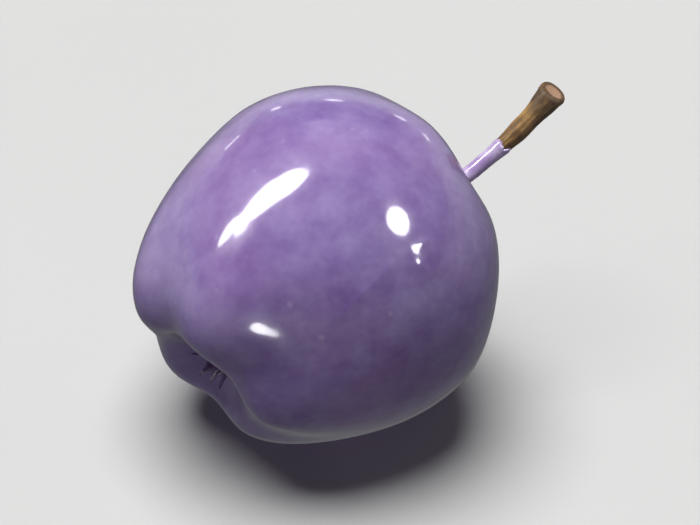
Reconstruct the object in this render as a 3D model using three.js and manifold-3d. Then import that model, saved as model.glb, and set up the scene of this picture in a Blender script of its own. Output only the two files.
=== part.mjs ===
// An apple dipped in coloured wax, lying on its cheek, in millimetres, +Z up.
// The dipped fruit is one solid, and its stalk and its dried calyx are solids of their own.
// Each is shaped in the fruit's own frame, with the core line along +Z and the stalk end up,
// and then laid down. The origin is the centre of the small flat spot that the apple rests on.
import * as THREE from "three";
import { mergeVertices } from "three/addons/utils/BufferGeometryUtils.js";
import Module from "manifold-3d";

const radians = THREE.MathUtils.degToRad;
const smoothstep = THREE.MathUtils.smoothstep;

// ---- The fruit's section: levels are above the middle, drops below it ----
const CHEEK_RADIUS = 24.8; // widest half-width
const CHEEK_LEVEL = 4;
const SHOULDER_RADIUS = 11.4; // crest of the shoulders round the stalk cavity
const SHOULDER_LEVEL = 22;
const CAVITY_LEVEL = 14; // bottom of the stalk cavity
const LOBE_RADIUS = 9.8; // crest of the lobes round the calyx basin
const LOBE_DROP = 22.8;
const BASIN_DROP = 17.6; // bottom of the calyx basin

// How full each stretch of the section is: where its curve's handles reach.
const CAVITY_THROAT = 4.4;
const CAVITY_BRIM = 6.6;
const SHOULDER_REACH = 15.6;
const UPPER_CHEEK_LEVEL = 12.6;
const LOWER_CHEEK_DROP = 10.2;
const TAPER_REACH = 16.5;
const BASIN_BRIM = 6.2;
const BASIN_THROAT = 4.2;

// ---- Unevenness, as a grown fruit has ----
const LOBES = 5;
const LOBE_AZIMUTH = radians(200);
const LOBE_SWELL = 0.5; // outward swell of a lobe near the calyx
const LOBE_LENGTH = 0.6; // extra length of a lobe
const SHOULDER_RISE = 0.3; // the matching rises on the shoulder
const LONGER_SHARE = 0.094; // one side is longer than the middle by this share
const LONGER_AZIMUTH = radians(140);
const CAVITY_SHIFT = 2.5; // the cavity lies off centre, towards the short side
const CAVITY_AZIMUTH = LONGER_AZIMUTH + Math.PI;

// ---- Stalk: its centre line is a curve that rises evenly from foot to tip ----
const STALK_BURIED = 1.6;
const STALK_TIP_LEVEL = 42.5;
const STALK_ROUTE = [
  new THREE.Vector2(1.9, -1.5),
  new THREE.Vector2(3.2, -1.3),
  new THREE.Vector2(1.6, -4.1),
  new THREE.Vector2(-1.8, -4.3),
];
const NECK_RADIUS = 1.05; // the slender part, under the wax
const WOOD_RADIUS = 1.5; // the bare part
const TIP_RADIUS = 2.1; // the flared end, where it parted from the tree
const FOOT_SWELL = 0.3;
const FOOT_SWELL_LENGTH = 5;
const WAX_EDGE_LEVEL = 32.5;
const WOOD_TAPER = 3; // half the length over which the neck thickens
const FLARE_LENGTH = 5.5;
const END_BEVEL = 0.45;

// ---- Calyx: dried sepals closed over a small cup ----
const SEPAL_LENGTH = 4.4;
const SEPAL_WIDTH = 2.6;
const SEPAL_THICKNESS = 1.0;
const SEPAL_LEAN = radians(24);
const CUP_RADIUS = 2.3;
const CUP_DEPTH = 1.6;
const SEPAL_OVERLAP = 0.4;

// ---- How it lies ----
const CORE_ELEVATION = radians(19); // stalk end above the horizontal
const CORE_HEADING = radians(40); // stalk end turned from +X towards +Y
const SPOT_DEPTH = 0.9; // how much the resting spot is pressed flat
const FIT_GAP = 0.3; // clearance between the solids

// ---- Fineness ----
const FRUIT_SEGMENTS = 60;
const ARC_STEPS = [9, 12, 13, 8]; // cavity, upper cheek, lower cheek, basin
const STALK_SEGMENTS = 16;
const STALK_STEPS = 30;
const SEPAL_SEGMENTS = 12;
const SLAB_SIZE = 80;

const wasm = await Module();
wasm.setup();

function solidFrom(geometry) {
  const bare = geometry.clone();
  bare.deleteAttribute("normal");
  bare.deleteAttribute("uv");
  const merged = mergeVertices(bare, 1e-3);
  const mesh = new wasm.Mesh({
    numProp: 3,
    vertProperties: merged.attributes.position.array,
    triVerts: new Uint32Array(merged.index.array),
  });
  return new wasm.Manifold(mesh);
}

function geometryFrom(solid) {
  const mesh = solid.getMesh();
  const positions = new THREE.BufferAttribute(new Float32Array(mesh.vertProperties), 3);
  const triangles = new THREE.BufferAttribute(new Uint32Array(mesh.triVerts), 1);
  const geometry = new THREE.BufferGeometry().setAttribute("position", positions).setIndex(triangles);
  geometry.computeVertexNormals();
  return geometry;
}

// A profile of (radius, level) points, from its lower end to its upper one, turned round +Z.
function turned(profile, segments) {
  return new THREE.LatheGeometry(profile, segments).rotateX(Math.PI / 2);
}

function moved(geometry, move) {
  const position = geometry.attributes.position;
  const point = new THREE.Vector3();
  for (let i = 0; i < position.count; i++) {
    move(point.fromBufferAttribute(position, i));
    position.setXYZ(i, point.x, point.y, point.z);
  }
  return geometry;
}

// Half of the fruit's section, from the bottom of the basin to the bottom of the cavity.
function fruitProfile() {
  const at = (radius, level) => new THREE.Vector2(radius, level);
  const cavity = at(0, CAVITY_LEVEL);
  const shoulder = at(SHOULDER_RADIUS, SHOULDER_LEVEL);
  const cheek = at(CHEEK_RADIUS, CHEEK_LEVEL);
  const lobe = at(LOBE_RADIUS, -LOBE_DROP);
  const basin = at(0, -BASIN_DROP);
  const arcs = [
    [cavity, at(CAVITY_THROAT, CAVITY_LEVEL), at(CAVITY_BRIM, SHOULDER_LEVEL), shoulder],
    [shoulder, at(SHOULDER_REACH, SHOULDER_LEVEL), at(CHEEK_RADIUS, UPPER_CHEEK_LEVEL), cheek],
    [cheek, at(CHEEK_RADIUS, -LOWER_CHEEK_DROP), at(TAPER_REACH, -LOBE_DROP), lobe],
    [lobe, at(BASIN_BRIM, -LOBE_DROP), at(BASIN_THROAT, -BASIN_DROP), basin],
  ];
  const points = arcs.flatMap((arc, i) => {
    const spaced = new THREE.CubicBezierCurve(...arc).getSpacedPoints(ARC_STEPS[i]);
    return i === 0 ? spaced : spaced.slice(1);
  });
  return points.reverse();
}

// Moves a point of the turned fruit to where the uneven, grown surface is.
function grow(point) {
  const radius = Math.hypot(point.x, point.y);
  const azimuth = Math.atan2(point.y, point.x);
  const level = point.z;
  const rim = Math.min(1, radius / SHOULDER_RADIUS) ** 2;
  const nearCalyx = rim * smoothstep(-level, 0, LOBE_DROP);
  const nearStalk = rim * smoothstep(level, CHEEK_LEVEL, SHOULDER_LEVEL);
  const lobe = Math.cos(LOBES * (azimuth - LOBE_AZIMUTH));
  const longer = LONGER_SHARE * Math.cos(azimuth - LONGER_AZIMUTH) * (radius / CHEEK_RADIUS);
  const grown = radius + LOBE_SWELL * nearCalyx * lobe;
  const inCavity = smoothstep(level, 0, CAVITY_LEVEL) * (1 - smoothstep(radius, 0.4, 1.1 * SHOULDER_RADIUS));
  point.x = grown * Math.cos(azimuth) + CAVITY_SHIFT * inCavity * Math.cos(CAVITY_AZIMUTH);
  point.y = grown * Math.sin(azimuth) + CAVITY_SHIFT * inCavity * Math.sin(CAVITY_AZIMUTH);
  point.z = level * (1 + longer) + (SHOULDER_RISE * nearStalk - LOBE_LENGTH * nearCalyx) * lobe;
}

function stalkRadius(level) {
  const foot = 1 - smoothstep(level, CAVITY_LEVEL, CAVITY_LEVEL + FOOT_SWELL_LENGTH);
  const wood = smoothstep(level, WAX_EDGE_LEVEL - WOOD_TAPER, WAX_EDGE_LEVEL + WOOD_TAPER);
  const flare = smoothstep(level, STALK_TIP_LEVEL - FLARE_LENGTH, STALK_TIP_LEVEL);
  const body = THREE.MathUtils.lerp(NECK_RADIUS, WOOD_RADIUS, wood);
  return THREE.MathUtils.lerp(body, TIP_RADIUS, flare) + FOOT_SWELL * foot;
}

// The stalk, or with a clearance the room that it needs.
function stalkGeometry(clearance) {
  const foot = CAVITY_LEVEL - STALK_BURIED - clearance;
  const tip = STALK_TIP_LEVEL + clearance;
  const profile = [new THREE.Vector2(0, foot)];
  for (let i = 0; i <= STALK_STEPS; i++) {
    const level = THREE.MathUtils.lerp(foot, tip, i / STALK_STEPS);
    const bevel = i === 0 || i === STALK_STEPS ? END_BEVEL : 0;
    profile.push(new THREE.Vector2(stalkRadius(level) + clearance - bevel, level));
  }
  profile.push(new THREE.Vector2(0, tip));
  const route = new THREE.CubicBezierCurve(...STALK_ROUTE);
  return moved(turned(profile, STALK_SEGMENTS), (point) => {
    const share = (point.z - CAVITY_LEVEL) / (STALK_TIP_LEVEL - CAVITY_LEVEL);
    const centre = route.getPoint(share);
    point.x += centre.x;
    point.y += centre.y;
  });
}

// Five dried sepals closed over a cup, hanging along -Z from the bottom of the basin.
function calyxGeometry() {
  const top = -(BASIN_DROP + FIT_GAP);
  const cup = new THREE.SphereGeometry(1, 2 * SEPAL_SEGMENTS, SEPAL_SEGMENTS)
    .scale(CUP_RADIUS, CUP_RADIUS, CUP_DEPTH / 2)
    .translate(0, 0, top - CUP_DEPTH / 2);
  let calyx = solidFrom(cup);
  for (let i = 0; i < LOBES; i++) {
    const sepal = new THREE.SphereGeometry(1, SEPAL_SEGMENTS, SEPAL_SEGMENTS / 2)
      .scale(SEPAL_THICKNESS / 2, SEPAL_WIDTH / 2, SEPAL_LENGTH / 2)
      .translate(0, 0, -SEPAL_LENGTH / 2)
      .rotateY(SEPAL_LEAN)
      .translate(CUP_RADIUS, 0, top - SEPAL_OVERLAP)
      .rotateZ(LOBE_AZIMUTH + (i / LOBES) * 2 * Math.PI);
    calyx = calyx.add(solidFrom(sepal));
  }
  return geometryFrom(calyx);
}

// Lays a geometry down, with the lowest point of the fruit SPOT_DEPTH below z = 0.
function lyingMatrix(fruit) {
  const turn = new THREE.Matrix4()
    .makeRotationZ(CORE_HEADING)
    .multiply(new THREE.Matrix4().makeRotationY(Math.PI / 2 - CORE_ELEVATION));
  const laid = fruit.clone().applyMatrix4(turn);
  laid.computeBoundingBox();
  return turn.setPosition(0, 0, -laid.boundingBox.min.z - SPOT_DEPTH);
}

// Bores the stalk's socket in the laid fruit, and presses its resting spot flat at z = 0.
function finishedFruit(laidFruit, laidStalkRoom) {
  const slab = new THREE.BoxGeometry(SLAB_SIZE, SLAB_SIZE, SLAB_SIZE).translate(0, 0, -SLAB_SIZE / 2);
  const bored = solidFrom(laidFruit).subtract(solidFrom(laidStalkRoom));
  return geometryFrom(bored.subtract(solidFrom(slab)));
}

// The middle of the flat spot.
function spotCentre(geometry) {
  const position = geometry.attributes.position;
  const spot = new THREE.Box3();
  const point = new THREE.Vector3();
  for (let i = 0; i < position.count; i++) {
    point.fromBufferAttribute(position, i);
    if (point.z < 1e-4) spot.expandByPoint(point);
  }
  return spot.getCenter(point);
}

const waxFinish = new THREE.MeshStandardMaterial({ color: 0x8a6bb0, roughness: 0.2, metalness: 0 });
const woodFinish = new THREE.MeshStandardMaterial({ color: 0x8a6a3c, roughness: 0.75, metalness: 0 });
const calyxFinish = new THREE.MeshStandardMaterial({ color: 0x6f558c, roughness: 0.4, metalness: 0 });

function named(name, geometry, material) {
  const mesh = new THREE.Mesh(geometry, material);
  mesh.name = name;
  return mesh;
}

const grownFruit = moved(turned(fruitProfile(), FRUIT_SEGMENTS), grow);
const lying = lyingMatrix(grownFruit);
const fruit = finishedFruit(grownFruit.applyMatrix4(lying), stalkGeometry(FIT_GAP).applyMatrix4(lying));
const centre = spotCentre(fruit);

const apple = new THREE.Group();
apple.add(named("waxed_fruit", fruit, waxFinish));
apple.add(named("stalk", stalkGeometry(0).applyMatrix4(lying), woodFinish));
apple.add(named("calyx", calyxGeometry().applyMatrix4(lying), calyxFinish));
apple.position.set(-centre.x, -centre.y, 0);

const part = new THREE.Group();
part.add(apple);

export default part;
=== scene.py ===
# A small apple dipped in glossy lilac wax, lying on its cheek on a pale table.
# Lengths are in metres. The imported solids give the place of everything.
import math

import bpy
import numpy as np
from mathutils import Matrix, Vector


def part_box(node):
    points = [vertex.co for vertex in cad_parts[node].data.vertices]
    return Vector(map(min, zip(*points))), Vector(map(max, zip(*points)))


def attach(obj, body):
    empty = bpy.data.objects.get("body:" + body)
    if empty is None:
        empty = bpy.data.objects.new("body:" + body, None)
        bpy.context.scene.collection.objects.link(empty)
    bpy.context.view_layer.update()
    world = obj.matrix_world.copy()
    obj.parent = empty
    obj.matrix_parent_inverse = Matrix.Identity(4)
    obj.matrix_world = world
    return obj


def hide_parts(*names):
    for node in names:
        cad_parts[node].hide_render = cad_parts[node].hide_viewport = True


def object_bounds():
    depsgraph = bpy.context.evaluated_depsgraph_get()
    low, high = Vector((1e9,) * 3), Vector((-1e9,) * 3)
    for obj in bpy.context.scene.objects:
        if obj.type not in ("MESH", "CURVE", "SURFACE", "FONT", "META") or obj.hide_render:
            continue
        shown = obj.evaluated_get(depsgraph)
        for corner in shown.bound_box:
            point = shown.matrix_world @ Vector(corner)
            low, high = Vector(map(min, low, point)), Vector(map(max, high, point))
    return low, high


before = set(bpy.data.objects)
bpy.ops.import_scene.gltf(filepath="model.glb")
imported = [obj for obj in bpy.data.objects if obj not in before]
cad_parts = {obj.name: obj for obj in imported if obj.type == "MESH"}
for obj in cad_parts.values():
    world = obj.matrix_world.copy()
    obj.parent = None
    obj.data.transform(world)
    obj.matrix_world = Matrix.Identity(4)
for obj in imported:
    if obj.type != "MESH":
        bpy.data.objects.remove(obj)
solid_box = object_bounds()
mm = 0.001


# The studio: a pale matt table in a soft room, one wide light overhead, and lamps that show only
# as reflections in the wax. The wax neither mirrors the table nor takes its light, which keeps its
# edges and its lower half deep. The camera looks down on the apple from the calyx end's side.
table_size = 12
view_elevation = math.radians(38.5)
view_distance = 514 * mm
view_height = 74 * mm  # what the picture takes in, at the apple, from its lower edge to its upper
picture_aspect = 700 / 525
wall_glow, ceiling_glow = 0.60, 0.05
floor_share = 0.28  # of the wall's glow, seen by the wax where the table would be
low, high = solid_box
middle = (low + high) / 2


def add(tree, kind, inputs=None, **settings):
    """A node of that kind, with its settings, and with its inputs wired or set by name or number."""
    node = tree.nodes.new(kind)
    for setting, value in settings.items():
        setattr(node, setting, value)
    for key, value in (inputs or {}).items():
        if isinstance(value, bpy.types.NodeSocket):
            tree.links.new(value, node.inputs[key])
        else:
            node.inputs[key].default_value = value
    return node


def calc(tree, operation, *values):
    """One step of arithmetic in a tree."""
    return add(tree, "ShaderNodeMath", dict(enumerate(values)), operation=operation).outputs[0]


def plus(tree, first, second):
    return calc(tree, "ADD", first, second)


def minus(tree, first, second):
    return calc(tree, "SUBTRACT", first, second)


def times(tree, first, second):
    return calc(tree, "MULTIPLY", first, second)


def ease(tree, value, start, end, to_start=0.0, to_end=1.0):
    """A smooth step of a value, from one level at start to another at end."""
    return add(tree, "ShaderNodeMapRange", {
        "Value": value, "From Min": start, "From Max": end, "To Min": to_start, "To Max": to_end,
    }, interpolation_type="SMOOTHSTEP").outputs[0]


def split(tree, vector):
    """The X, Y and Z of a vector, by name."""
    return add(tree, "ShaderNodeSeparateXYZ", {0: vector}).outputs


def new_material(name):
    """A material with an empty surface, its tree, and the place of each point on the piece."""
    material = bpy.data.materials.new(name)
    material.use_nodes = True
    tree = material.node_tree
    tree.nodes.clear()
    return material, tree, add(tree, "ShaderNodeTexCoord").outputs["Object"]


def clouds(tree, where, scale, detail, roughness=0.5):
    """Soft noise at so many lumps to the metre."""
    return add(tree, "ShaderNodeTexNoise", {
        "Vector": where, "Scale": scale, "Detail": detail, "Roughness": roughness,
    }).outputs["Fac"]


def ramp(tree, level, stops):
    """Colours that go over into one another, each given as (level, (red, green, blue))."""
    node = add(tree, "ShaderNodeValToRGB", {"Fac": level})
    elements = node.color_ramp.elements
    for stop, colour in stops[1:-1]:
        elements.new(stop)
    for element, (stop, colour) in zip(elements, stops):
        element.position = stop
        element.color = (*colour, 1)
    return node.outputs["Color"]


def embossed(tree, height, strength, depth):
    """A fine relief on the surface."""
    return add(tree, "ShaderNodeBump", {
        "Height": height, "Strength": strength, "Distance": depth,
    }).outputs["Normal"]


def surface(tree, looks):
    """The material's surface, with its looks by the names of the shader's inputs."""
    shader = add(tree, "ShaderNodeBsdfPrincipled", looks)
    add(tree, "ShaderNodeOutputMaterial", {"Surface": shader.outputs[0]})


table_material, tree, place = new_material("pale table")
surface(tree, {
    "Base Color": ramp(tree, clouds(tree, place, 9, 5), [
        (0, (0.475, 0.473, 0.47)),
        (1, (0.515, 0.513, 0.51)),
    ]),
    "Roughness": 0.8,
    "Specular IOR Level": 0.0,
    "Normal": embossed(tree, clouds(tree, place, 900, 3), 0.08, 0.2 * mm),
})
bpy.ops.mesh.primitive_plane_add(size=table_size, location=(0, 0, low.z))
table = bpy.context.object
table.name = "table"
table.data.materials.append(table_material)
table.visible_glossy = False
table.visible_diffuse = False

world = bpy.data.worlds.new("soft room")
bpy.context.scene.world = world
world.use_nodes = True
tree = world.node_tree
height = split(tree, add(tree, "ShaderNodeTexCoord").outputs["Generated"])["Z"]
walls = ease(tree, height, 0.03, 0.28, wall_glow, ceiling_glow)
darker_below = ease(tree, height, -0.45, 0.0, floor_share, 1.0)
background = tree.nodes["Background"]
background.inputs["Color"].default_value = (0.97, 0.975, 1.0, 1)
tree.links.new(times(tree, walls, darker_below), background.inputs["Strength"])

overhead_data = bpy.data.lights.new("soft light overhead", "SUN")
overhead_data.energy = 4.65
overhead_data.angle = math.radians(45)
overhead = bpy.data.objects.new("soft light overhead", overhead_data)
bpy.context.scene.collection.objects.link(overhead)
overhead.rotation_euler = Vector((-0.12, 0.12, 1.0)).to_track_quat("Z", "Y").to_euler()
overhead.visible_glossy = False


def hang_mirrored(name, direction, size, power, turn=0, distance=0.9):
    """A lamp seen only as its reflection in the wax, facing the apple and turned by so many degrees."""
    data = bpy.data.lights.new(name, "AREA")
    data.shape = "ELLIPSE"
    data.size, data.size_y = size
    data.energy = power
    lamp = bpy.data.objects.new(name, data)
    bpy.context.scene.collection.objects.link(lamp)
    towards = Vector(direction).normalized()
    facing = towards.to_track_quat("Z", "Y").to_matrix().to_4x4()
    spin = Matrix.Rotation(math.radians(turn), 4, "Z")
    lamp.matrix_world = Matrix.Translation(middle + towards * distance) @ facing @ spin
    lamp.visible_diffuse = False
    lamp.visible_camera = False


hang_mirrored("tube on the left, lower", (-0.748, 0.080, 0.600), (0.10, 0.32), 1.8, turn=-11)
hang_mirrored("tube on the left, upper", (-0.50, 0.065, 0.75), (0.26, 0.54), 9.0, turn=15)
hang_mirrored("lamp on the right", (0.63, -0.285, 0.72), (0.42, 0.27), 7)
hang_mirrored("small on the right", (0.78, -0.42, 0.46), (0.13, 0.09), 0.8)
hang_mirrored("low in front", (-0.265, -0.96, -0.06), (0.020, 0.026), 0.03, turn=25, distance=0.15)
for side in (-0.62, -0.30, 0.02, 0.34, 0.62):
    hang_mirrored("row behind", (side, 0.95, 0.16), (0.08, 0.03), 0.035)
for width in (0.24, 0.40, 0.56):
    hang_mirrored("soft window behind", (0.05, 0.60, 0.78), (width, width), 1.6 * width * width)

camera_data = bpy.data.cameras.new("camera")
camera = bpy.data.objects.new("camera", camera_data)
bpy.context.scene.collection.objects.link(camera)
bpy.context.scene.camera = camera
back = Vector((0, -math.cos(view_elevation), math.sin(view_elevation)))
camera.location = middle + back * view_distance
camera.rotation_euler = back.to_track_quat("Z", "Y").to_euler()
camera_data.lens = camera_data.sensor_width * view_distance / (view_height * picture_aspect)
camera_data.clip_start = 0.01
bpy.context.scene.view_settings.view_transform = "Standard"


# The waxed fruit: a small, uneven apple with its coat of wax. It is turned from its half
# section and then grown out of true: five lobes at the calyx, a longer side, a shifted stalk
# cavity. The wax is a film that was dipped, ran and set, with dents, ripples and pimples.
cheek_radius, cheek_level = 24.8 * mm, 4 * mm
shoulder_radius, shoulder_level = 11.4 * mm, 22 * mm
cavity_level = 14 * mm
lobe_radius, lobe_drop = 9.8 * mm, 22.8 * mm
basin_drop = 17.6 * mm
core_elevation, core_heading = math.radians(19), math.radians(40)
longer_azimuth = math.radians(140)
full_turn = 2 * math.pi


def new_tree(name, sockets):
    """A Geometry Nodes tree with a geometry in and out and the named sizes, and its input node."""
    tree = bpy.data.node_groups.new(name, "GeometryNodeTree")
    tree.interface.new_socket("Geometry", in_out="OUTPUT", socket_type="NodeSocketGeometry")
    tree.interface.new_socket("Geometry", in_out="INPUT", socket_type="NodeSocketGeometry")
    for socket, kind in sockets.items():
        tree.interface.new_socket(socket, in_out="INPUT", socket_type="NodeSocket" + kind)
    return tree, tree.nodes.new("NodeGroupInput").outputs


def end_tree(tree, geometry, material):
    """Shades the result smooth, makes its copies real and gives it its material."""
    smooth = add(tree, "GeometryNodeSetShadeSmooth", {"Geometry": geometry})
    real = add(tree, "GeometryNodeRealizeInstances", {"Geometry": smooth.outputs[0]})
    painted = add(tree, "GeometryNodeSetMaterial", {"Geometry": real.outputs[0], "Material": material})
    add(tree, "NodeGroupOutput", {"Geometry": painted.outputs[0]})


def vector(tree, x, y, z):
    return add(tree, "ShaderNodeCombineXYZ", {"X": x, "Y": y, "Z": z}).outputs[0]


def reach(tree, direction, length):
    """A direction drawn out to a length."""
    return add(tree, "ShaderNodeVectorMath", {0: direction, "Scale": length}, operation="SCALE").outputs[0]


def position_of(tree):
    return add(tree, "GeometryNodeInputPosition").outputs[0]


def move(tree, geometry, position):
    """A geometry with its points put at that position."""
    return add(tree, "GeometryNodeSetPosition", {"Geometry": geometry, "Position": position}).outputs[0]


def noise(tree, where, size, detail, seed):
    """Soft noise whose lumps are about that size."""
    return add(tree, "ShaderNodeTexNoise", {
        "Vector": where, "W": seed, "Scale": calc(tree, "DIVIDE", 1.0, size), "Detail": detail,
    }, noise_dimensions="4D").outputs["Fac"]


def unevenness(tree, where, size, detail, seed, height):
    """Noise that rises and sinks about nothing, over that height."""
    return times(tree, minus(tree, noise(tree, where, size, detail, seed), 0.5), height)


def on_half_section(tree, given):
    """A sheet of rings and segments, and its points' radius, level and azimuth on the half section."""
    sheet = add(tree, "GeometryNodeMeshGrid", {
        "Size X": 1.0, "Size Y": 1.0,
        "Vertices X": given["Rings"], "Vertices Y": plus(tree, given["Segments"], 1),
    }).outputs["Mesh"]
    spread = split(tree, position_of(tree))
    sample = add(tree, "GeometryNodeSampleCurve", {
        "Curves": given["Geometry"], "Factor": plus(tree, spread["X"], 0.5),
    }, mode="FACTOR")
    section = split(tree, sample.outputs["Position"])
    azimuth = times(tree, plus(tree, spread["Y"], 0.5), full_turn)
    return sheet, section["X"], section["Z"], azimuth


def close_up(tree, sheet, distance):
    """A turned sheet joined along its seam and at its poles, with its faces outwards."""
    joined = add(tree, "GeometryNodeMergeByDistance", {"Geometry": sheet, "Distance": distance})
    return add(tree, "GeometryNodeFlipFaces", {"Mesh": joined.outputs[0]}).outputs[0]


def bezier_object(name, knots):
    """A curve object through knots, each given as (handle before, point, handle after)."""
    data = bpy.data.curves.new(name, "CURVE")
    data.dimensions = "3D"
    data.resolution_u = 48
    spline = data.splines.new("BEZIER")
    spline.bezier_points.add(len(knots) - 1)
    for knot, (before, point, after) in zip(spline.bezier_points, knots):
        knot.handle_left_type = knot.handle_right_type = "FREE"
        knot.handle_left, knot.co, knot.handle_right = before, point, after
    curve = bpy.data.objects.new(name, data)
    bpy.context.scene.collection.objects.link(curve)
    return curve


def made_by(source, tree, sizes, name):
    """The plain mesh object that a tree makes of a source object, which is used up."""
    modifier = source.modifiers.new(tree.name, "NODES")
    modifier.node_group = tree
    sockets = {s.name: s.identifier for s in tree.interface.items_tree if s.in_out == "INPUT"}
    for socket, value in sizes.items():
        modifier[sockets[socket]] = value
    graph = bpy.context.evaluated_depsgraph_get()
    mesh = bpy.data.meshes.new_from_object(source.evaluated_get(graph), depsgraph=graph)
    source.modifiers.remove(modifier)
    bpy.data.objects.remove(source)
    piece = bpy.data.objects.new(name, mesh)
    mesh.name = name
    bpy.context.scene.collection.objects.link(piece)
    return piece


def at(radius, level):
    return Vector((radius, 0, level))


fruit_section = bezier_object("fruit section", [
    (at(0, -basin_drop), at(0, -basin_drop), at(4.2 * mm, -basin_drop)),
    (at(6.2 * mm, -lobe_drop), at(lobe_radius, -lobe_drop), at(16.5 * mm, -lobe_drop)),
    (at(cheek_radius, -10.2 * mm), at(cheek_radius, cheek_level), at(cheek_radius, 12.6 * mm)),
    (at(15.6 * mm, shoulder_level), at(shoulder_radius, shoulder_level), at(6.6 * mm, shoulder_level)),
    (at(4.4 * mm, cavity_level), at(0, cavity_level), at(0, cavity_level)),
])

pink_lilac, blue_lilac = (0.33, 0.180, 0.40, 1), (0.200, 0.180, 0.430, 1)
pale_speck = (0.50, 0.40, 0.62, 1)


def blend(tree, share, first, second):
    """A colour gone over to a second one by that share."""
    return add(tree, "ShaderNodeMix", {
        "Factor": share, 6: first, 7: second,
    }, data_type="RGBA").outputs[2]


def cells(tree, where, scale):
    """Cells at so many to the metre: their distances and colours."""
    return add(tree, "ShaderNodeTexVoronoi", {"Vector": where, "Scale": scale}).outputs


wax_material, tree, place = new_material("lilac wax")
patches = clouds(tree, place, 85, 2)
flecks = clouds(tree, place, 300, 2)
specks = clouds(tree, place, 950, 2)
film = add(tree, "ShaderNodeAttribute", attribute_name="film").outputs["Fac"]
depth = plus(tree, times(tree, patches, 0.4), times(tree, flecks, 0.28))
depth = plus(tree, depth, times(tree, film, 0.2))
depth = plus(tree, depth, times(tree, specks, 0.12))
lilac = ramp(tree, depth, [
    (0.37, (0.180, 0.108, 0.312)),
    (0.50, (0.243, 0.169, 0.392)),
    (0.63, (0.304, 0.234, 0.466)),
])
hue = clouds(tree, place, 48, 1)
lilac = blend(tree, ease(tree, hue, 0.5, 0.66, 0.0, 0.24), lilac, pink_lilac)
lilac = blend(tree, ease(tree, hue, 0.48, 0.34, 0.0, 0.09), lilac, blue_lilac)
dots = cells(tree, place, 210)
some = ease(tree, split(tree, dots["Color"])["X"], 0.45, 1.0)
dot = times(tree, ease(tree, dots["Distance"], 0.13, 0.04, 0.0, 0.32), some)
pit = ease(tree, cells(tree, place, 380)["Distance"], 0.02, 0.22)
orange_peel = plus(tree, times(tree, clouds(tree, place, 1300, 3, 0.6), 0.35), times(tree, pit, 0.5))
surface(tree, {
    "Base Color": blend(tree, dot, lilac, pale_speck),
    "Roughness": ease(tree, flecks, 0.3, 0.75, 0.15, 0.25),
    "Normal": embossed(tree, orange_peel, 0.10, 0.12 * mm),
    "IOR": 1.45,
    "Specular IOR Level": 0.25,
    "Subsurface Weight": 0.25,
    "Subsurface Radius": (1.0, 0.7, 1.3),
    "Subsurface Scale": 1.5 * mm,
    "Coat Weight": 0.8,
    "Coat Roughness": 0.065,
    "Coat IOR": 1.45,
})

grow, given = new_tree("Grow the waxed fruit", {
    "Rings": "Int", "Segments": "Int",
    "Lobes": "Int", "Lobe Azimuth": "Float", "Lobe Swell": "Float", "Lobe Length": "Float",
    "Shoulder Rise": "Float", "Longer Share": "Float", "Longer Azimuth": "Float", "Cavity Shift": "Float",
    "Dent Depth": "Float", "Dent Size": "Float", "Ripple Height": "Float", "Ripple Size": "Float",
    "Pimple Height": "Float", "Pimple Spacing": "Float", "Seed": "Float", "Material": "Material",
    "Runs": "Object", "Run Height": "Float", "Run Width": "Float",
})
sheet, radius, level, azimuth = on_half_section(grow, given)
rim_share = calc(grow, "MINIMUM", calc(grow, "DIVIDE", radius, shoulder_radius), 1.0)
rim = calc(grow, "POWER", rim_share, 2.0)
near_calyx = times(grow, rim, ease(grow, level, 0.0, -lobe_drop))
near_stalk = times(grow, rim, ease(grow, level, cheek_level, shoulder_level))
from_lobe = minus(grow, azimuth, given["Lobe Azimuth"])
lobe = calc(grow, "COSINE", times(grow, given["Lobes"], from_lobe))
from_longer = minus(grow, azimuth, given["Longer Azimuth"])
longer = times(grow, given["Longer Share"], calc(grow, "COSINE", from_longer))
longer = times(grow, longer, calc(grow, "DIVIDE", radius, cheek_radius))
swell = times(grow, times(grow, given["Lobe Swell"], near_calyx), lobe)
grown = plus(grow, radius, swell)
inside_shoulder = ease(grow, radius, 1.1 * shoulder_radius, 0.4 * mm)
in_cavity = times(grow, ease(grow, level, 0.0, cavity_level), inside_shoulder)
shift = times(grow, given["Cavity Shift"], in_cavity)
shift_azimuth = plus(grow, given["Longer Azimuth"], math.pi)
across, aside = (
    plus(
        grow,
        times(grow, grown, calc(grow, wave, azimuth)),
        times(grow, shift, calc(grow, wave, shift_azimuth)),
    )
    for wave in ("COSINE", "SINE")
)
shoulder_rise = times(grow, given["Shoulder Rise"], near_stalk)
rise = minus(grow, shoulder_rise, times(grow, given["Lobe Length"], near_calyx))
along = plus(grow, times(grow, level, plus(grow, longer, 1.0)), times(grow, rise, lobe))
closed = close_up(grow, move(grow, sheet, vector(grow, across, aside, along)), 0.002 * mm)

here = position_of(grow)
dented = ease(grow, noise(grow, here, given["Dent Size"], 1.0, given["Seed"]), 0.5, 0.75)
dent = times(grow, dented, given["Dent Depth"])
ripple = unevenness(grow, here, given["Ripple Size"], 2.0, given["Seed"], given["Ripple Height"])
spots = add(grow, "ShaderNodeTexVoronoi", {
    "Vector": here, "W": given["Seed"], "Scale": calc(grow, "DIVIDE", 1.0, given["Pimple Spacing"]),
}, voronoi_dimensions="4D").outputs
chosen = ease(grow, split(grow, spots["Color"])["X"], 0.55, 1.0)
pimple = times(grow, ease(grow, spots["Distance"], 0.30, 0.05), chosen)
pimple = times(grow, pimple, given["Pimple Height"])
run_lines = add(grow, "GeometryNodeObjectInfo", {"Object": given["Runs"]}).outputs["Geometry"]
run_lines = add(grow, "GeometryNodeResampleCurve", {"Curve": run_lines, "Count": 16}).outputs[0]
run_lines = add(grow, "GeometryNodeCurveToMesh", {"Curve": run_lines}).outputs[0]
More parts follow.
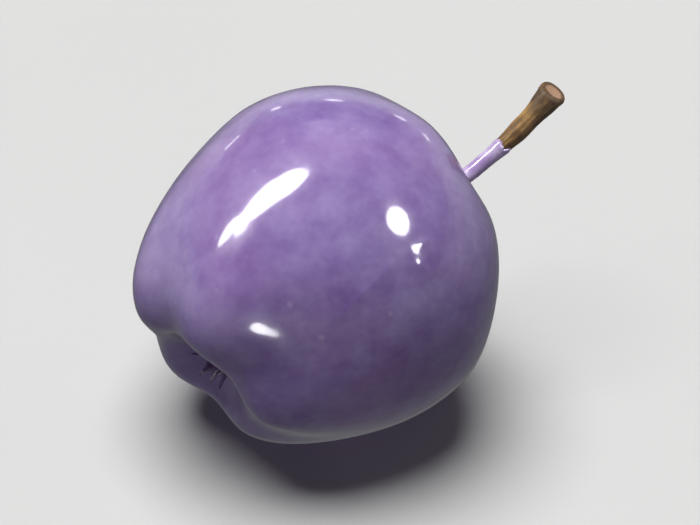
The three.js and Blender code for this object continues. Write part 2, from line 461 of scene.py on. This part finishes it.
nearest = add(grow, "GeometryNodeProximity", {0: closed}, target_element="FACES").outputs["Position"]
on_skin = move(grow, run_lines, nearest)
from_run = add(grow, "GeometryNodeProximity", {0: on_skin}, target_element="EDGES").outputs["Distance"]
run = times(grow, ease(grow, from_run, given["Run Width"], 0.0), given["Run Height"])
offset = minus(grow, plus(grow, plus(grow, ripple, run), pimple), dent)
outwards = add(grow, "GeometryNodeInputNormal").outputs[0]
waxed = add(grow, "GeometryNodeSetPosition", {"Geometry": closed, "Offset": reach(grow, outwards, offset)})
film = noise(grow, here, times(grow, given["Dent Size"], 2.0), 3.0, given["Seed"])
stored = add(grow, "GeometryNodeStoreNamedAttribute", {
    "Geometry": waxed.outputs[0], "Name": "film", "Value": film,
})
end_tree(grow, stored.outputs[0], given["Material"])


def round_at(azimuth, radius, level):
    """A point given by its turn about the core line in degrees and its radius and level in mm."""
    return Matrix.Rotation(math.radians(azimuth), 4, "Z") @ at(radius * mm, level * mm)


run_curve = bpy.data.curves.new("wax runs", "CURVE")
run_curve.dimensions = "3D"
for start, end in [
    (round_at(234.8, 22.5, -8.1), round_at(231.1, 24.7, 1.2)),
    (round_at(232.6, 24.4, 6.6), round_at(233.4, 24.4, 7.2)),
    (round_at(237.0, 24.8, 3.9), round_at(237.8, 24.8, 4.4)),
    (round_at(241.0, 24.7, 4.9), round_at(242.0, 24.7, 5.5)),
]:
    spline = run_curve.splines.new("POLY")
    spline.points.add(1)
    spline.points[0].co = (*start, 1)
    spline.points[1].co = (*end, 1)
runs = bpy.data.objects.new("wax runs", run_curve)
bpy.context.scene.collection.objects.link(runs)

fruit = made_by(fruit_section, grow, {
    "Rings": 230, "Segments": 300,
    "Lobes": 5, "Lobe Azimuth": math.radians(200), "Lobe Swell": 0.5 * mm, "Lobe Length": 0.6 * mm,
    "Shoulder Rise": 0.3 * mm, "Longer Share": 0.094, "Longer Azimuth": longer_azimuth,
    "Cavity Shift": 2.5 * mm, "Dent Depth": 0.07 * mm, "Dent Size": 11 * mm,
    "Ripple Height": 0.02 * mm, "Ripple Size": 3.2 * mm,
    "Pimple Height": 0.05 * mm, "Pimple Spacing": 6 * mm, "Seed": 3.7, "Material": wax_material,
    "Runs": runs, "Run Height": 0.09 * mm, "Run Width": 0.9 * mm,
}, "waxed_fruit_skin")
bpy.data.objects.remove(runs)

# Laid down on its cheek: turned from the core line, put where the solid fruit lies, and
# pressed flat where it rests.
turn = Matrix.Rotation(core_heading, 4, "Z") @ Matrix.Rotation(math.pi / 2 - core_elevation, 4, "Y")
fruit.data.transform(turn)
fruit_low, fruit_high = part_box("waxed_fruit")
laid = np.empty(len(fruit.data.vertices) * 3)
fruit.data.vertices.foreach_get("co", laid)
laid = laid.reshape(-1, 3)
place_of_core = Vector((
    (fruit_low.x + fruit_high.x - laid[:, 0].min() - laid[:, 0].max()) / 2,
    (fruit_low.y + fruit_high.y - laid[:, 1].min() - laid[:, 1].max()) / 2,
    fruit_high.z - laid[:, 2].max(),
))
lying = Matrix.Translation(place_of_core) @ turn
laid += np.array(place_of_core)
press = 0.08 * mm
laid[:, 2] = (laid[:, 2] + np.hypot(laid[:, 2], press)) / 2
fruit.data.vertices.foreach_set("co", laid.ravel())
fruit.data.update()
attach(fruit, "root")
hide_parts("waxed_fruit")


# The stalk: a woody stem, grown into the bottom of the cavity, slender under the wax and
# thicker past it, with a flared end cut on a slant. It is turned round its own curved
# centre line, and its bark is ridged along its length.
stalk_tip_level, wax_edge_level = 42.5 * mm, 32.5 * mm
stalk_bend = [(1.9, -1.5), (3.2, -1.3), (1.6, -4.1), (-1.8, -4.3)]
bark_radius = 1.5 * mm  # of the ring that the bark's pattern is laid on
ridge_stretch = 0.12  # how much slower the ridges change along the stalk than round it
core_reach = 1.0 * mm  # the unevenness dies away from here to the centre line
edge_softness = 0.3 * mm
cut_reach = 3.5 * mm
stalk_levels = np.linspace(cavity_level, stalk_tip_level, len(stalk_bend))
foot, foot_handle, tip_handle, tip = (
    Vector((x * mm, y * mm, level)) for (x, y), level in zip(stalk_bend, stalk_levels)
)
stalk_line = bezier_object("stalk line", [(foot, foot, foot_handle), (tip_handle, tip, tip)])


def smooth_knots(points, reach=0.35):
    """Knots with handles that lie along the run from the point before to the point after."""
    knots = []
    for i, point in enumerate(points):
        before, after = points[max(i - 1, 0)], points[min(i + 1, len(points) - 1)]
        run = (after - before).normalized()
        back_reach, on_reach = reach * (point - before).length, reach * (after - point).length
        knots.append((point - run * back_reach, point, point + run * on_reach))
    return knots


def combine(tree, operation, first, second):
    """One step of arithmetic with two vectors."""
    return add(tree, "ShaderNodeVectorMath", {0: first, 1: second}, operation=operation).outputs


stalk, given = new_tree("Turn round the stalk's line", {
    "Line": "Object", "Foot Level": "Float", "Tip Level": "Float", "Rings": "Int", "Segments": "Int",
    "Ridge Height": "Float", "Ridge Width": "Float", "Knob Height": "Float", "Knob Size": "Float",
    "Film": "Float", "Sink": "Float", "Edge Level": "Float", "Edge Tear": "Float", "Seed": "Float",
    "Cut Slope": "Float", "Cut Azimuth": "Float",
    "Material": "Material",
})
sheet, radius, level, azimuth = on_half_section(stalk, given)
cosine, sine = calc(stalk, "COSINE", azimuth), calc(stalk, "SINE", azimuth)
ring_x, ring_y = times(stalk, cosine, bark_radius), times(stalk, sine, bark_radius)
bark = vector(stalk, ring_x, ring_y, times(stalk, level, ridge_stretch))
ring = vector(stalk, ring_x, ring_y, level)
ridge = unevenness(stalk, bark, given["Ridge Width"], 2.0, given["Seed"], given["Ridge Height"])
knob = unevenness(stalk, ring, given["Knob Size"], 1.0, given["Seed"], given["Knob Height"])
tear = unevenness(stalk, bark, 1.1 * mm, 3.0, given["Seed"], given["Edge Tear"])
past_edge = minus(stalk, level, plus(stalk, given["Edge Level"], tear))
waxed = ease(stalk, past_edge, edge_softness, -edge_softness)
film = times(stalk, plus(stalk, given["Film"], given["Sink"]), waxed)
film = minus(stalk, film, given["Sink"])
bumps = plus(stalk, plus(stalk, ridge, knob), film)
on_side = calc(stalk, "MINIMUM", calc(stalk, "DIVIDE", radius, core_reach), 1.0)
full = plus(stalk, radius, times(stalk, bumps, on_side))

line = add(stalk, "GeometryNodeObjectInfo", {"Object": given["Line"]}).outputs["Geometry"]
share = add(stalk, "ShaderNodeMapRange", {
    "Value": level, "From Min": given["Foot Level"], "From Max": given["Tip Level"],
}, clamp=False).outputs[0]
middle_line = add(stalk, "GeometryNodeSampleCurve", {"Curves": line, "Factor": share}, mode="FACTOR").outputs
over = combine(stalk, "CROSS_PRODUCT", middle_line["Tangent"], middle_line["Normal"])[0]
reach_x = reach(stalk, middle_line["Normal"], times(stalk, full, cosine))
reach_y = reach(stalk, over, times(stalk, full, sine))
around = combine(stalk, "ADD", reach_x, reach_y)[0]
cut_azimuth = given["Cut Azimuth"]
cut_side = vector(stalk, calc(stalk, "COSINE", cut_azimuth), calc(stalk, "SINE", cut_azimuth), 0.0)
towards_cut = combine(stalk, "DOT_PRODUCT", around, cut_side)["Value"]
near_end = ease(stalk, level, minus(stalk, given["Tip Level"], cut_reach), given["Tip Level"])
shortened = times(stalk, times(stalk, towards_cut, given["Cut Slope"]), near_end)
beyond = minus(stalk, level, split(stalk, middle_line["Position"])["Z"])
lean = reach(stalk, middle_line["Tangent"], minus(stalk, beyond, shortened))
around = combine(stalk, "ADD", around, lean)[0]
straight = vector(stalk, times(stalk, cosine, radius), times(stalk, sine, radius), level)
marked = add(stalk, "GeometryNodeStoreNamedAttribute", {
    "Geometry": sheet, "Name": "straight", "Value": straight,
}, data_type="FLOAT_VECTOR").outputs[0]
shaped = move(stalk, marked, combine(stalk, "ADD", middle_line["Position"], around)[0])
end_tree(stalk, close_up(stalk, shaped, 0.001 * mm), given["Material"])

cut_face_colour = (0.36, 0.21, 0.13, 1)
tip_end_dark_brown = (0.05, 0.025, 0.012, 1)
wood_material, tree, place = new_material("stalk wood")
straight = add(tree, "ShaderNodeAttribute", attribute_name="straight").outputs["Vector"]
stretched = add(tree, "ShaderNodeMapping", {"Vector": straight, "Scale": (1, 1, 0.08)}).outputs[0]
fibre = clouds(tree, stretched, 2600, 5, 0.65)
blotch = clouds(tree, straight, 420, 3)
bark_brown = ramp(tree, plus(tree, times(tree, fibre, 0.55), times(tree, blotch, 0.45)), [
    (0.36, (0.045, 0.018, 0.004)),
    (0.50, (0.165, 0.080, 0.013)),
    (0.64, (0.44, 0.245, 0.07)),
])
parts = split(tree, straight)
squares = [calc(tree, "POWER", parts[axis], 2.0) for axis in ("X", "Y")]
out = calc(tree, "SQRT", plus(tree, *squares))
at_tip = ease(tree, parts["Z"], stalk_tip_level - 0.9 * mm, stalk_tip_level - 0.5 * mm)
on_end = times(tree, at_tip, ease(tree, out, 1.75 * mm, 1.1 * mm))
brown = blend(tree, on_end, bark_brown, cut_face_colour)
# The bark goes over to a darker brown over the last few millimetres towards the tip, all round except on the
# cut face.
bark_brown_share = ease(tree, parts["Z"], stalk_tip_level - 6.5 * mm, stalk_tip_level - 1.2 * mm, 1.0, 0.36)
surface(tree, {
    "Base Color": blend(tree, calc(tree, "MAXIMUM", bark_brown_share, on_end), tip_end_dark_brown, brown),
    "Roughness": ease(tree, blotch, 0.3, 0.7, 0.5, 0.75),
    "Normal": embossed(tree, fibre, 0.6, 0.15 * mm),
})

stalk_section = bezier_object("stalk section", smooth_knots([
    at(0, cavity_level - 1.2 * mm),
    at(1.0 * mm, cavity_level - 1.2 * mm),
    at(1.3 * mm, cavity_level),
    at(1.05 * mm, cavity_level + 5 * mm),
    at(1.05 * mm, wax_edge_level - 3 * mm),
    at(1.48 * mm, wax_edge_level + 2.2 * mm),
    at(1.5 * mm, stalk_tip_level - 5 * mm),
    at(1.95 * mm, stalk_tip_level - 1.3 * mm),
    at(2.05 * mm, stalk_tip_level - 0.5 * mm),
    at(1.8 * mm, stalk_tip_level - 0.05 * mm),
    at(1.3 * mm, stalk_tip_level - 0.2 * mm),
    at(0, stalk_tip_level - 0.35 * mm),
]))
wood = made_by(stalk_section, stalk, {
    "Line": stalk_line, "Foot Level": cavity_level, "Tip Level": stalk_tip_level,
    "Rings": 190, "Segments": 72,
    "Ridge Height": 0.22 * mm, "Ridge Width": 0.5 * mm, "Knob Height": 0.3 * mm, "Knob Size": 3 * mm,
    "Seed": 1.3, "Cut Slope": 0.5, "Cut Azimuth": math.radians(218), "Material": wood_material,
}, "stalk_wood")
wood.data.transform(lying)
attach(wood, "root")
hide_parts("stalk")


# The wax on the stalk: the same dipped film, pale where it is thin over the wood. It climbs
# from the bottom of the cavity, where it pooled, and ends in a torn edge.
sleeve_end = wax_edge_level + 1.6 * mm
sleeve_section = bezier_object("sleeve section", smooth_knots([
    at(0, cavity_level - 1.0 * mm),
    at(3.4 * mm, cavity_level - 0.6 * mm),
    at(1.75 * mm, cavity_level + 1.3 * mm),
    at(1.15 * mm, cavity_level + 5 * mm),
    at(1.05 * mm, wax_edge_level - 3 * mm),
    at(1.33 * mm, wax_edge_level + 0.6 * mm),
    at(1.3 * mm, sleeve_end),
    at(0, sleeve_end),
]))

sleeve_material, tree, place = new_material("thin lilac wax")
patches = clouds(tree, place, 500, 3)
surface(tree, {
    "Base Color": ramp(tree, patches, [
        (0.35, (0.36, 0.25, 0.50)),
        (0.65, (0.58, 0.47, 0.70)),
    ]),
    "Roughness": ease(tree, patches, 0.3, 0.7, 0.18, 0.3),
    "Normal": embossed(tree, clouds(tree, place, 1800, 2), 0.25, 0.1 * mm),
    "IOR": 1.45,
    "Coat Weight": 0.6,
    "Coat Roughness": 0.06,
})

sleeve = made_by(sleeve_section, stalk, {
    "Line": stalk_line, "Foot Level": cavity_level, "Tip Level": stalk_tip_level,
    "Rings": 150, "Segments": 72,
    "Ridge Height": 0.05 * mm, "Ridge Width": 1.2 * mm, "Knob Height": 0.16 * mm, "Knob Size": 2.2 * mm,
    "Film": 0.13 * mm, "Sink": 0.3 * mm, "Edge Level": wax_edge_level - 0.2 * mm, "Edge Tear": 3.2 * mm,
    "Seed": 6.1, "Material": sleeve_material,
}, "stalk_wax")
sleeve.data.transform(lying)
bpy.data.objects.remove(stalk_line)
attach(sleeve, "root")


# The calyx: five dried sepals closed over a small cup with a tuft of dried stamens, grown
# into the bottom of the basin, all under the same wax.
stamen_foot_radius, stamen_tip_radius = 0.14 * mm, 0.07 * mm
stamen_lean, stamen_unevenness = 0.12, 0.22
cup_sunk = 0.3 * mm
sprig, given = new_tree("Dried calyx", {
    "Sepals": "Int", "Cup Radius": "Float", "Cup Height": "Float",
    "Sepal Length": "Float", "Sepal Width": "Float", "Sepal Thickness": "Float",
    "Curl": "Float", "Lean": "Float", "Unevenness": "Float",
    "Stamens": "Int", "Stamen Length": "Float", "Seed": "Int", "Material": "Material",
})
ball = add(sprig, "GeometryNodeMeshUVSphere", {"Segments": 24, "Rings": 18, "Radius": 1.0}).outputs["Mesh"]
on_ball = split(sprig, position_of(sprig))
share = calc(sprig, "DIVIDE", plus(sprig, on_ball["Z"], 1.0), 2.0)
taper = ease(sprig, share, 0.25, 1.0, 1.0, 0.25)
bend = times(sprig, calc(sprig, "POWER", share, 2.0), given["Curl"])
gutter_depth = times(sprig, given["Sepal Width"], -0.22)
gutter = times(sprig, calc(sprig, "POWER", on_ball["Y"], 2.0), gutter_depth)
thick = times(sprig, on_ball["X"], times(sprig, given["Sepal Thickness"], 0.5))
wide = times(sprig, times(sprig, on_ball["Y"], taper), times(sprig, given["Sepal Width"], 0.5))
curled = plus(sprig, plus(sprig, thick, bend), gutter)
sepal = move(sprig, ball, vector(sprig, curled, wide, times(sprig, share, given["Sepal Length"])))


def ringed(tree, count, ring_radius, level, copy, lean, seed, uneven):
    """Copies of a shape that points up, set round a ring, each leaning inwards and a little out of true."""
    ring = add(tree, "GeometryNodeMeshCircle", {"Vertices": count, "Radius": ring_radius}).outputs[0]
    index = add(tree, "GeometryNodeInputIndex").outputs[0]

    def chance(low, high, step):
        picked = add(tree, "FunctionNodeRandomValue", {
            2: low, 3: high, "ID": index, "Seed": plus(tree, seed, step),
        }, data_type="FLOAT")
        return picked.outputs[1]

    angle = times(tree, calc(tree, "DIVIDE", index, count), full_turn)
    wobble = times(tree, uneven, chance(-1.0, 1.0, 1))
    tilt = plus(tree, lean, times(tree, uneven, chance(-1.0, 1.0, 2)))
    size = chance(0.8, 1.15, 3)
    lifted = add(tree, "GeometryNodeSetPosition", {
        "Geometry": ring, "Offset": vector(tree, 0.0, 0.0, level),
    }).outputs[0]
    turned = add(tree, "FunctionNodeEulerToRotation", {
        0: vector(tree, wobble, times(tree, tilt, -1.0), angle),
    }).outputs[0]
    return add(tree, "GeometryNodeInstanceOnPoints", {
        "Points": lifted, "Instance": copy, "Rotation": turned, "Scale": vector(tree, size, size, size),
    }).outputs[0]


sepals = ringed(
    sprig, given["Sepals"], given["Cup Radius"], times(sprig, given["Cup Height"], 0.35),
    sepal, given["Lean"], given["Seed"], given["Unevenness"],
)
stamen = add(sprig, "GeometryNodeMeshCone", {
    "Vertices": 8, "Side Segments": 4, "Radius Top": stamen_tip_radius,
    "Radius Bottom": stamen_foot_radius, "Depth": given["Stamen Length"],
}).outputs["Mesh"]
stamens = ringed(
    sprig, given["Stamens"], times(sprig, given["Cup Radius"], 0.38), times(sprig, given["Cup Height"], 0.5),
    stamen, stamen_lean, plus(sprig, given["Seed"], 9), stamen_unevenness,
)
cup = move(sprig, ball, vector(
    sprig,
    times(sprig, on_ball["X"], given["Cup Radius"]),
    times(sprig, on_ball["Y"], given["Cup Radius"]),
    times(sprig, share, given["Cup Height"]),
))
together = add(sprig, "GeometryNodeJoinGeometry")
for part in (sepals, stamens, cup):
    sprig.links.new(part, together.inputs[0])
end_tree(sprig, together.outputs[0], given["Material"])

calyx_material, tree, place = new_material("wax over dried calyx")
patches = clouds(tree, place, 700, 4, 0.65)
surface(tree, {
    "Base Color": ramp(tree, patches, [
        (0.35, (0.12, 0.065, 0.15)),
        (0.68, (0.36, 0.25, 0.50)),
    ]),
    "Roughness": ease(tree, patches, 0.3, 0.7, 0.28, 0.5),
    "Normal": embossed(tree, patches, 0.5, 0.25 * mm),
    "Coat Weight": 0.4,
    "Coat Roughness": 0.1,
})

sprig_source = bpy.data.objects.new("calyx source", bpy.data.meshes.new("calyx source"))
bpy.context.scene.collection.objects.link(sprig_source)
calyx = made_by(sprig_source, sprig, {
    "Sepals": 5, "Cup Radius": 1.9 * mm, "Cup Height": 1.5 * mm, "Sepal Length": 4.9 * mm,
    "Sepal Width": 3.0 * mm, "Sepal Thickness": 0.75 * mm, "Curl": 2.4 * mm, "Lean": math.radians(14),
    "Unevenness": math.radians(11), "Stamens": 11, "Stamen Length": 2.2 * mm, "Seed": 5,
    "Material": calyx_material,
}, "calyx_sepals")
in_basin = Matrix.Translation((0, 0, -basin_drop + cup_sunk)) @ Matrix.Rotation(math.pi, 4, "X")
calyx.data.transform(lying @ in_basin)
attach(calyx, "root")
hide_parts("calyx")
